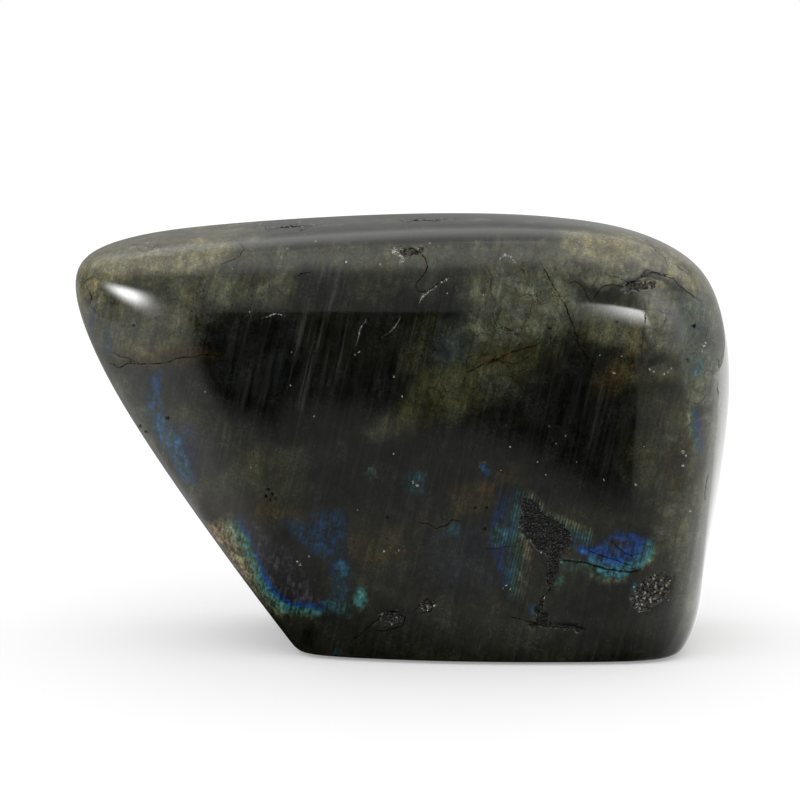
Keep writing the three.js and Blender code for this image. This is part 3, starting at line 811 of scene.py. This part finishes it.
def grain_field(points, normals):
    """How near the middle of a grain each point is, and the grain's tint."""
    field = np.zeros((len(points), 2))
    drift = wobble(points, 0.9, 1.1)
    for view, grains in GRAINS.items():
        places, facing = seen_from(view, points, normals)
        for radius, tint, spots in grains.values():
            for spot in spots:
                distance = np.linalg.norm(places + drift - spot, axis=1)
                share = np.where(facing > 0.1, 1 - distance / (1.1 * radius), 0)
                nearer = share > field[:, 0]
                field[nearer, 0] = share[nearer]
                field[nearer, 1] = tint
    return field


def put_vectors(mesh, name, *columns):
    data = mesh.attributes.new(name, "FLOAT_VECTOR", "POINT")
    data.data.foreach_set("vector", np.stack(columns, 1).ravel())


def make_stone():
    points, triangles = stone_net()
    normals = outward(points)
    patch, scars = sunk(points, normals)
    relief = np.maximum(patch, scars)
    moved = points - normals * relief[:, None]
    shaded = normals.copy()
    touched = np.unique(triangles[(relief[triangles] > 0.004).any(1)])
    shaded[touched] = own_normals(moved, triangles)[touched]

    mesh = bpy.data.meshes.new("polished_stone")
    mesh.from_pydata((moved * MM).tolist(), [], triangles.tolist())
    colors = mesh.attributes.new("body", "FLOAT_COLOR", "POINT")
    rgba = np.concatenate([body_colors(points, normals), np.ones((len(points), 1))], 1)
    colors.data.foreach_set("color", rgba.ravel())
    put_vectors(mesh, "flash", *flash_field(points, normals).T)
    put_vectors(mesh, "crack", *crack_field(points, normals).T)
    grains, tints = grain_field(points, normals).T
    put_vectors(mesh, "grain", grains, tints, fibre_field(points, normals))
    ground = smooth(0.6 - points[:, 2], 0, 0.4)
    put_vectors(mesh, "rough", patch / PATCH_DEPTH, np.minimum(scars / 0.6, 1.5), ground)
    mesh.shade_smooth()
    mesh.normals_split_custom_set_from_vertices(shaded.tolist())
    piece = bpy.data.objects.new("polished_stone", mesh)
    bpy.context.scene.collection.objects.link(piece)
    return piece


def make_camera():
    elevation = math.radians(CAMERA_ELEVATION)
    back = Vector((0, -math.cos(elevation), math.sin(elevation)))
    data = bpy.data.cameras.new("camera")
    data.lens = CAMERA_LENS
    data.sensor_width = SENSOR
    data.clip_start = 0.01
    data.clip_end = 50
    camera = bpy.data.objects.new("camera", data)
    camera.location = (Vector(CAMERA_TARGET) + back * CAMERA_DISTANCE) * MM
    camera.rotation_euler = (math.pi / 2 - elevation, 0, 0)
    bpy.context.scene.collection.objects.link(camera)
    bpy.context.scene.camera = camera


class Graph:
    """A node tree with short calls. Numbers are set on the sockets themselves."""

    def __init__(self, tree):
        self.tree = tree
        tree.nodes.clear()

    def node(self, kind, **settings):
        node = self.tree.nodes.new(kind)
        for name, value in settings.items():
            setattr(node, name, value)
        return node

    def put(self, socket, value):
        if isinstance(value, bpy.types.NodeSocket):
            self.tree.links.new(value, socket)
        else:
            socket.default_value = value

    def math(self, operation, *values, clamp=False):
        node = self.node("ShaderNodeMath", operation=operation, use_clamp=clamp)
        for socket, value in zip(node.inputs, values):
            self.put(socket, value)
        return node.outputs[0]

    def add(self, a, *others):
        for b in others:
            a = self.math("ADD", a, b)
        return a

    def minus(self, a, b):
        return self.math("SUBTRACT", a, b)

    def times(self, a, *others):
        for b in others:
            a = self.math("MULTIPLY", a, b)
        return a

    def larger(self, a, b):
        return self.math("MAXIMUM", a, b)

    def smaller(self, a, b):
        return self.math("MINIMUM", a, b)

    def rise(self, value, low, high):
        """0 below low and 1 above high, with a soft turn at both ends."""
        node = self.node("ShaderNodeMapRange", interpolation_type="SMOOTHSTEP")
        self.put(node.inputs["Value"], value)
        self.put(node.inputs["From Min"], low)
        self.put(node.inputs["From Max"], high)
        return node.outputs["Result"]

    def fall(self, value, low, high):
        return self.minus(1.0, self.rise(value, low, high))

    def ramp(self, value, first, last, places):
        """Colours at places of a value from first to last, straight between them."""
        span = self.node("ShaderNodeMapRange")
        self.put(span.inputs["Value"], value)
        span.inputs["From Min"].default_value = first
        span.inputs["From Max"].default_value = last
        ramp = self.node("ShaderNodeValToRGB")
        self.put(ramp.inputs["Fac"], span.outputs["Result"])
        elements = ramp.color_ramp.elements
        while len(elements) < len(places):
            elements.new(1.0)
        for element, (at, color) in zip(elements, places):
            element.position = (at - first) / (last - first)
            element.color = (*color, 1)
        return ramp.outputs["Color"]

    def stops(self, value, *places):
        """A curve through (value, height) places, straight between them."""
        top = max(height for _, height in places)
        grey = [(at, (height / top,) * 3) for at, height in places]
        return self.times(self.ramp(value, places[0][0], places[-1][0], grey), top)

    def spot(self, a, b, centre, radii):
        """1 in the middle of an oval of a and b, falling softly to 0 at its rim."""
        u = self.times(self.minus(a, centre[0]), 1 / radii[0])
        v = self.times(self.minus(b, centre[1]), 1 / radii[1])
        reach = self.math("SQRT", self.add(self.times(u, u), self.times(v, v)))
        return self.fall(reach, 0.0, 1.0)

    def vector(self, operation, a, b):
        node = self.node("ShaderNodeVectorMath", operation=operation)
        self.put(node.inputs[0], a)
        self.put(node.inputs[1], b)
        return node

    def stretched(self, vector, factors):
        return self.vector("MULTIPLY", vector, factors).outputs["Vector"]

    def split(self, vector):
        node = self.node("ShaderNodeSeparateXYZ")
        self.put(node.inputs[0], vector)
        return node.outputs

    def joined(self, *values):
        node = self.node("ShaderNodeCombineXYZ")
        for socket, value in zip(node.inputs, values):
            self.put(socket, value)
        return node.outputs[0]

    def noise(self, vector, scale, detail, rough=0.5, distortion=0.0, color=False):
        node = self.node("ShaderNodeTexNoise")
        self.put(node.inputs["Vector"], vector)
        node.inputs["Scale"].default_value = scale
        node.inputs["Detail"].default_value = detail
        node.inputs["Roughness"].default_value = rough
        node.inputs["Distortion"].default_value = distortion
        return node.outputs["Color" if color else "Fac"]

    def cells(self, vector, scale, feature="F1"):
        node = self.node("ShaderNodeTexVoronoi", feature=feature)
        self.put(node.inputs["Vector"], vector)
        node.inputs["Scale"].default_value = scale
        return node.outputs

    def mix(self, share, a, b, blend="MIX"):
        node = self.node("ShaderNodeMix", data_type="RGBA", blend_type=blend)
        self.put(node.inputs["Factor"], share)
        for socket, value in ((node.inputs["A"], a), (node.inputs["B"], b)):
            self.put(socket, (*value, 1) if isinstance(value, tuple) else value)
        return node.outputs["Result"]


# The tilt of the stone's thin twin layers, in degrees from the upright, and the
# hues of a flash from its gold rim to its dusk.
LAYER_TILT = math.radians(13)
FLASH_HUES = [
    (0.0, (0.085, 0.045, 0.022)),
    (0.12, (0.125, 0.088, 0.044)),
    (0.24, (0.105, 0.095, 0.052)),
    (0.36, (0.045, 0.074, 0.045)),
    (0.45, (0.017, 0.058, 0.051)),
    (0.52, (0.012, 0.052, 0.064)),
    (0.60, (0.007, 0.032, 0.074)),
    (0.68, (0.001, 0.018, 0.092)),
    (0.80, (0.005, 0.012, 0.030)),
    (0.90, (0.011, 0.012, 0.017)),
    (1.0, (0.013, 0.012, 0.014)),
]
GOLDEN = (1.06, 1.0, 0.84)
BLUISH = (0.94, 1.0, 1.08)
CRACK_BLACK = (0.0015, 0.0015, 0.001)
CRACK_RUST = (0.036, 0.025, 0.007)
THREAD_DARK = (0.006, 0.005, 0.002)
FIBRE_PALE = (0.11, 0.115, 0.10)
# White of chips and pale grains, and of the painted glints where the polish catches the light.
SPARK = (0.40, 0.41, 0.37)
GRAIN_BLACK = (0.002, 0.002, 0.0015)
GRAIN_RUST = (0.07, 0.035, 0.014)
PIT_DARK = (0.0012, 0.0013, 0.0010)
PIT_PALE = (0.011, 0.011, 0.009)
GRAIN_BROWN = (0.052, 0.034, 0.016)
GRAIN_GREY = (0.060, 0.060, 0.050)
GRAIN_WHITE = (0.26, 0.25, 0.22)


class Labradorite(Graph):
    """The stone's material. Its textures are laid out in mm."""

    def __init__(self, tree):
        super().__init__(tree)
        place = self.node("ShaderNodeTexCoord").outputs["Object"]
        self.place = self.stretched(place, (1000, 1000, 1000))
        tilt = LAYER_TILT
        across = self.vector("DOT_PRODUCT", self.place, (math.cos(tilt), 0, -math.sin(tilt)))
        along = self.vector("DOT_PRODUCT", self.place, (math.sin(tilt), 0, math.cos(tilt)))
        depth = self.split(self.place)[1]
        self.layers = self.joined(across.outputs["Value"], depth, along.outputs["Value"])
        self.mottle = self.noise(self.place, 0.95, 5, 0.62)
        self.streaks = self.noise(self.stretched(self.layers, (0.8, 0.16, 0.055)), 1.0, 6, 0.6, 0.25)
        self.clouds = self.noise(self.place, 0.13, 4, 0.58, 0.8)

    def values(self, name):
        node = self.node("ShaderNodeAttribute", attribute_name=name)
        return self.split(node.outputs["Vector"])

    def around_zero(self, value, reach):
        return self.times(self.minus(value, 0.5), reach)

    def body(self):
        """The painted colour, with the streaks, blotches and shards of the grain."""
        shards = self.cells(self.stretched(self.layers, (0.34, 0.25, 0.13)), 1.0)
        shard = self.split(shards["Color"])[0]
        fine = self.noise(self.place, 2.3, 4, 0.7)
        brightness = self.add(
            self.around_zero(self.streaks, 2.6), self.around_zero(self.clouds, 4.5),
            self.around_zero(self.mottle, 3.0), self.around_zero(fine, 3.2), self.around_zero(shard, 0.5),
        )
        brightness = self.math("POWER", 2.0, brightness)
        strokes = self.noise(self.stretched(self.layers, (0.85, 0.3, 0.035)), 1.0, 4, 0.65)
        strokes = self.times(self.rise(strokes, 0.42, 0.8), self.values("grain")[2])
        painted = self.node("ShaderNodeAttribute", attribute_name="body").outputs["Color"]
        hue = self.noise(self.place, 0.33, 4, 0.7, 0.5)
        tint = self.mix(self.rise(hue, 0.36, 0.64), BLUISH, GOLDEN)
        tinted = self.mix(1.0, painted, tint, "MULTIPLY")
        bright = self.joined(brightness, brightness, brightness)
        color = self.mix(1.0, tinted, bright, "MULTIPLY")
        dust = self.times(self.rise(fine, 0.5, 0.8), self.rise(self.clouds, 0.3, 0.65))
        color = self.mix(self.times(dust, 0.2), color, FIBRE_PALE)
        return self.mix(self.times(strokes, 0.36), color, FIBRE_PALE)

    def flash(self, color):
        """The painted sheen of the blue and gold flashes, broken up by the layers of the stone."""
        hue, power, layered = self.values("flash")
        fine = self.noise(self.stretched(self.layers, (1.3, 0.6, 0.12)), 1.0, 4, 0.6)
        patches = self.noise(self.place, 0.42, 3, 0.55, 0.6)
        hue = self.add(hue, self.around_zero(fine, 0.3), self.around_zero(self.mottle, 0.2))
        wave = self.times(self.split(self.layers)[0], 2 * math.pi / 0.82)
        wave = self.math("SINE", self.add(wave, self.times(self.mottle, 5.0)))
        lines = self.times(layered, self.rise(wave, -0.7, 0.9))
        broken = self.rise(self.add(fine, self.times(patches, 0.8)), 0.7, 1.0)
        power = self.times(power, self.minus(1.0, self.times(lines, 0.8)), self.add(0.35, self.times(broken, 0.9)))
        share = self.times(self.minus(1.0, self.math("POWER", 2.0, self.times(power, -3.2))), 0.92)
        lift = self.add(self.around_zero(fine, 3.6), self.around_zero(self.mottle, 4.6), self.around_zero(patches, 4.5))
        lift = self.times(self.math("POWER", 2.0, lift), self.add(0.45, self.times(power, 0.9)))
        glow = self.ramp(hue, 0.0, 1.0, FLASH_HUES)
        glow = self.mix(1.0, glow, self.joined(lift, lift, lift), "MULTIPLY")
        return self.mix(share, color, glow)

    def cleavage(self, color):
        """Fine cracks along the crystal's cleavage, here and there."""
        bent = self.noise(self.place, 0.5, 3, 0.5, color=True)
        bent = self.vector("MULTIPLY_ADD", bent, (3.0, 3.0, 3.0))
        self.put(bent.inputs[2], self.place)
        joints = self.cells(self.stretched(bent.outputs["Vector"], (0.15, 0.15, 0.11)), 1.0, "DISTANCE_TO_EDGE")
        line = self.fall(joints["Distance"], 0.004, 0.016)
        there = self.rise(self.noise(self.place, 0.085, 3), 0.5, 0.62)
        color = self.mix(self.times(line, there, 0.75), color, CRACK_BLACK)
        course = self.math("ABSOLUTE", self.minus(self.noise(self.place, 0.16, 7, 0.66, 0.6), 0.5))
        there = self.rise(self.noise(self.place, 0.21, 2), 0.43, 0.57)
        thread = self.times(self.fall(course, 0.004, 0.026), there, self.rise(self.mottle, 0.42, 0.56))
        color = self.mix(self.times(thread, 0.8), color, THREAD_DARK)
        # Painted glints: rare white flecks where tiny pits in the polish catch the light.
        flecks = self.cells(self.place, 0.42)
        chance, size, _ = self.split(flecks["Color"])
        radius = self.times(size, 0.11)
        dot = self.fall(flecks["Distance"], self.times(radius, 0.6), radius)
        rare = self.math("GREATER_THAN", chance, 0.93)
        color = self.mix(self.times(dot, rare, 0.8), color, SPARK)
        pits = self.cells(self.place, 0.3)
        chance, size, _ = self.split(pits["Color"])
        radius = self.times(size, 0.1)
        dot = self.fall(pits["Distance"], self.times(radius, 0.5), radius)
        rare = self.math("GREATER_THAN", chance, 0.9)
        return self.mix(self.times(dot, rare, 0.9), color, CRACK_BLACK)

    def cracks(self, color):
        """The open cracks, with rust beside some, and the pale fibres."""
        side, width, rust = self.values("crack")
        side = self.math("ABSOLUTE", self.add(side, self.around_zero(self.mottle, 0.5)))
        uneven = self.times(width, self.add(0.25, self.times(self.streaks, 1.5)))
        speckle = self.noise(self.place, 1.9, 4, 0.7)
        halo = self.times(self.fall(side, 0.1, 1.7), self.rise(speckle, 0.42, 0.62), self.larger(rust, 0.0))
        halo = self.times(halo, self.smaller(self.times(width, 6.0), 1.0))
        color = self.mix(self.times(halo, 0.8), color, CRACK_RUST)
        edge = self.minus(side, uneven)
        line = self.times(self.fall(edge, -0.05, 0.1), self.math("GREATER_THAN", width, 0.02))
        pale = self.times(self.fall(side, 0.0, self.times(width, 3.2)), self.fall(rust, -0.6, -0.4))
        chip = self.times(line, self.fall(rust, -1.6, -1.4), self.rise(speckle, 0.47, 0.6))
        pale = self.times(pale, self.rise(self.streaks, 0.42, 0.6), self.math("GREATER_THAN", width, 0.02))
        dark = self.times(line, self.rise(rust, -0.6, -0.4), self.rise(speckle, 0.36, 0.5))
        self.crack_line = dark
        color = self.mix(self.times(pale, 0.45), color, FIBRE_PALE)
        color = self.mix(self.times(chip, 0.8), color, SPARK)
        return self.mix(self.times(dark, 0.93), color, CRACK_BLACK)

    def grains(self, color):
        """Single bright, rusty and black grains."""
        near, tint, _ = self.values("grain")
        shape = self.noise(self.stretched(self.layers, (2.3, 2.0, 1.5)), 1.0, 5, 0.8, 1.0)
        share = self.rise(self.add(near, self.around_zero(shape, 3.2)), 0.42, 0.6)
        share = self.times(share, self.rise(near, 0.04, 0.3))
        color = self.mix(self.times(share, self.rise(tint, 0.4, 0.6)), color, GRAIN_RUST)
        self.black = self.times(share, self.fall(tint, -0.6, -0.4))
        color = self.mix(self.black, color, GRAIN_BLACK)
        # White grains: chips and pale grains, and painted glints for the ones named glints.
        white = self.times(self.rise(tint, -0.6, -0.4), self.fall(tint, 0.4, 0.6))
        white = self.times(white, self.rise(self.noise(self.place, 3.0, 2), 0.35, 0.55))
        return self.mix(self.times(share, white), color, SPARK)

    def rough_places(self, color):
        """The dark grains of the sunk patch and of the scars."""
        patch, scar, ground = self.values("rough")
        ragged = self.noise(self.place, 0.55, 4, 0.65)
        edge = self.add(scar, self.around_zero(ragged, 3.0))
        scar = self.times(self.rise(edge, 0.25, 0.6), self.rise(scar, 0.02, 0.15))
        grit = self.cells(self.place, 2.1)
        shade = self.split(grit["Color"])[0]
        gap = self.fall(grit["Distance"], 0.25, 0.6)
        lit = self.times(self.rise(shade, 0.3, 0.8), gap)
        grain = self.mix(lit, PIT_DARK, PIT_PALE)
        color = self.mix(self.times(self.rise(patch, 0.25, 0.7), 0.94), color, grain)
        warp = self.noise(self.place, 1.4, 3, 0.6, color=True)
        warped = self.vector("MULTIPLY_ADD", warp, (1.6, 1.6, 1.6))
        self.put(warped.inputs[2], self.place)
        stones = self.cells(warped.outputs["Vector"], 1.3)
        shade, kind, _ = self.split(stones["Color"])
        stone = self.mix(self.rise(kind, 0.25, 0.4), PIT_DARK, GRAIN_BROWN)
        stone = self.mix(self.rise(kind, 0.55, 0.6), stone, GRAIN_GREY)
        stone = self.mix(self.math("GREATER_THAN", kind, 0.84), stone, GRAIN_WHITE)
        stone = self.mix(self.fall(stones["Distance"], 0.35, 0.7), CRACK_BLACK, stone)
        color = self.mix(self.times(scar, 0.9), color, stone)
        self.roughened = self.larger(self.rise(self.larger(patch, scar), 0.05, 0.6), ground)
        self.hollow = self.times(self.roughened, self.minus(1.0, lit))
        self.grit = self.times(grit["Distance"], self.roughened)
        return color

    def finish(self):
        color = self.cleavage(self.flash(self.body()))
        color = self.rough_places(self.grains(self.cracks(color)))
        shader = self.node("ShaderNodeBsdfPrincipled")
        self.put(shader.inputs["Base Color"], color)
        worn = self.larger(self.times(self.roughened, 0.4), self.times(self.crack_line, 0.12))
        self.put(shader.inputs["Roughness"], self.add(0.035, worn))
        dulled = self.larger(self.times(self.hollow, 0.34), self.times(self.larger(self.crack_line, self.black), 0.47))
        self.put(shader.inputs["Specular IOR Level"], self.minus(0.5, dulled))
        shader.inputs["IOR"].default_value = 1.56
        height = self.times(self.grit, 0.00025)
        bump = self.node("ShaderNodeBump")
        bump.inputs["Distance"].default_value = 1.0
        self.put(bump.inputs["Height"], height)
        self.put(shader.inputs["Normal"], bump.outputs[0])
        out = self.node("ShaderNodeOutputMaterial")
        self.put(out.inputs["Surface"], shader.outputs[0])


def labradorite():
    mat = bpy.data.materials.new("labradorite")
    mat.use_nodes = True
    Labradorite(mat.node_tree).finish()
    return mat


def studio_world():
    world = bpy.data.worlds.new("studio")
    bpy.context.scene.world = world
    world.use_nodes = True
    g = Graph(world.node_tree)
    way = g.node("ShaderNodeTexCoord").outputs["Generated"]
    split = g.node("ShaderNodeSeparateXYZ")
    g.put(split.inputs[0], way)
    x, y, z = split.outputs
    azimuth = g.times(g.math("ARCTAN2", x, g.times(y, -1.0)), 57.2958)
    elevation = g.times(g.math("ARCSINE", z), 57.2958)
    upper = g.stops(elevation, (-5, 0.28), (0, 0.3), (12, 0.36), (20, 0.42), (26, 0.62), (36, 1.3), (50, 1.6), (62, 1.55), (75, 1.25), (90, 1.2))
    boost = g.stops(azimuth, (-180, 0), (-120, 0), (-60, 0.25), (-20, 0.15), (0, 0), (12, 0.1), (30, 0.6), (90, 0.6), (150, 0), (180, 0))
    upper = g.times(upper, g.add(1.0, g.times(boost, g.rise(elevation, 30, 45))))
    left = g.stops(azimuth, (-180, 0.35), (-100, 0.5), (-60, 0.6), (-42, 0.9), (-25, 1.1), (-18, 0.9), (-13, 0.0))
    left = g.times(left, g.fall(elevation, 0, 6))
    right = g.stops(azimuth, (13.5, 0.25), (24, 0.45), (32, 0.75), (40, 1.1), (52, 1.3), (75, 1.5), (100, 1.8), (140, 1.0), (180, 0.35))
    right = g.times(g.times(right, g.fall(elevation, 26, 40)), g.math("GREATER_THAN", azimuth, 13.4))
    bright = g.larger(upper, g.larger(left, right))
    top = g.stops(azimuth, (-20, 28.3), (-16, 29.5), (-3, 33.2), (6, 33.0), (12, 30.5))
    top = g.minus(top, 30.0)
    soft = g.stops(azimuth, (0, 0.15), (7, 3.0))
    under = g.math("DIVIDE", g.minus(top, elevation), soft)
    under = g.rise(under, -0.5, 0.5)
    window = g.times(g.times(under, g.rise(azimuth, -17.5, -14.0)), g.fall(azimuth, 12.8, 13.6))
    bright = g.times(bright, g.minus(1.0, window))
    drop = g.minus(elevation, g.minus(11.5, g.times(g.add(azimuth, 45.0), 0.25)))
    lamp = g.times(g.rise(azimuth, -84, -46), g.fall(azimuth, -44, -18))
    lamp = g.times(lamp, g.times(g.fall(drop, -4.0, 4.0), g.rise(drop, -11.0, -4.0)))
    bright = g.add(bright, g.times(g.times(lamp, lamp), 30.0))
    drop = g.minus(elevation, g.add(8.7, g.times(g.minus(azimuth, 19.5), 0.3)))
    lamp = g.times(g.rise(azimuth, 8.0, 17.5), g.fall(azimuth, 18.5, 20.5))
    lamp = g.times(lamp, g.times(g.fall(drop, 0.0, 0.8), g.rise(drop, -4.0, 0.0)))
    bright = g.add(bright, g.times(lamp, 15.0))
    bright = g.add(bright, g.times(g.spot(azimuth, elevation, (31, 15), (16, 18)), 2.2))
    eye = g.node("ShaderNodeLightPath").outputs["Is Glossy Ray"]
    strength = g.add(g.times(bright, eye, 0.8), g.minus(1.0, eye))
    back = g.node("ShaderNodeBackground")
    back.inputs["Color"].default_value = (1, 1, 1, 1)
    g.put(back.inputs["Strength"], strength)
    out = g.node("ShaderNodeOutputWorld")
    g.put(out.inputs["Surface"], back.outputs[0])


def flat(name, x0, x1, y0, y1, z):
    mesh = bpy.data.meshes.new(name)
    mesh.from_pydata([(x0, y0, z), (x1, y0, z), (x1, y1, z), (x0, y1, z)], [], [(0, 1, 2, 3)])
    piece = bpy.data.objects.new(name, mesh)
    bpy.context.scene.collection.objects.link(piece)
    return piece


def floor():
    piece = flat("floor", -4, 4, -4, 4, 0)
    piece.visible_glossy = False
    mat = bpy.data.materials.new("white floor")
    mat.use_nodes = True
    b = mat.node_tree.nodes["Principled BSDF"]
    b.inputs["Base Color"].default_value = (0.85, 0.85, 0.85, 1)
    b.inputs["Roughness"].default_value = 0.9
    b.inputs["Specular IOR Level"].default_value = 0
    b.inputs["Emission Color"].default_value = (1, 1, 1, 1)
    b.inputs["Emission Strength"].default_value = 0.25
    piece.data.materials.append(mat)


def table():
    piece = flat("table in the polish", -1.3, 1.3, -1.3, 1.3, 0.0005)
    piece.visible_camera = False
    piece.visible_diffuse = False
    piece.visible_shadow = False
    piece.visible_transmission = False
    piece.visible_volume_scatter = False
    mat = bpy.data.materials.new("table in the polish")
    mat.use_nodes = True
    g = Graph(mat.node_tree)
    split = g.node("ShaderNodeSeparateXYZ")
    g.put(split.inputs[0], g.node("ShaderNodeTexCoord").outputs["Object"])
    x, y = g.times(split.outputs[0], 1000), g.times(split.outputs[1], 1000)
    x = g.minus(x, g.math("MINIMUM", g.larger(x, -50), 62))
    y = g.minus(y, g.math("MINIMUM", g.larger(y, -33), 33))
    angle = g.times(g.math("ARCTAN2", x, g.times(y, -1.0)), 57.2958)
    reach = g.math("SQRT", g.add(g.times(x, x), g.times(y, y)))
    # The table glows by itself and shows only in the polish: a painted reflection of the table. Its glow is dimmest in
    # front of the stone, a painted shadow of the stone.
    light = g.stops(angle, (-180, 0.35), (-130, 0.4), (-90, 0.9), (-60, 1.0), (-30, 0.8), (-20, 0.5), (-14, 0.28),
                    (13, 0.28), (25, 0.42), (45, 0.6), (60, 1.1), (80, 1.8), (100, 4.0), (115, 3.6), (140, 2.0), (180, 0.35))
    # Painted shadow: the glow fades almost to nothing at the stone's base.
    near = g.stops(reach, (0, 0.03), (8, 0.1), (25, 0.45), (60, 0.9), (150, 1.0))
    edge = g.stops(angle, (-16, 330), (-8, 370), (-6, 520), (-3, 700), (0, 760), (4, 600), (7, 440), (13, 440))
    far = g.rise(g.math("DIVIDE", reach, edge), 0.75, 1.3)
    window = g.times(far, g.times(g.rise(angle, -17.5, -14.0), g.fall(angle, 12.8, 13.6)))
    light = g.times(g.times(light, near), g.minus(1.0, window))
    glow = g.node("ShaderNodeEmission")
    g.put(glow.inputs["Strength"], light)
    out = g.node("ShaderNodeOutputMaterial")
    g.put(out.inputs["Surface"], glow.outputs[0])
    piece.data.materials.append(mat)


make_camera()
stone = make_stone()
stone.data.materials.append(labradorite())
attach(stone, "root")
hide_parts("stone")
studio_world()
floor()
table()
bpy.context.scene.view_settings.view_transform = "Standard"
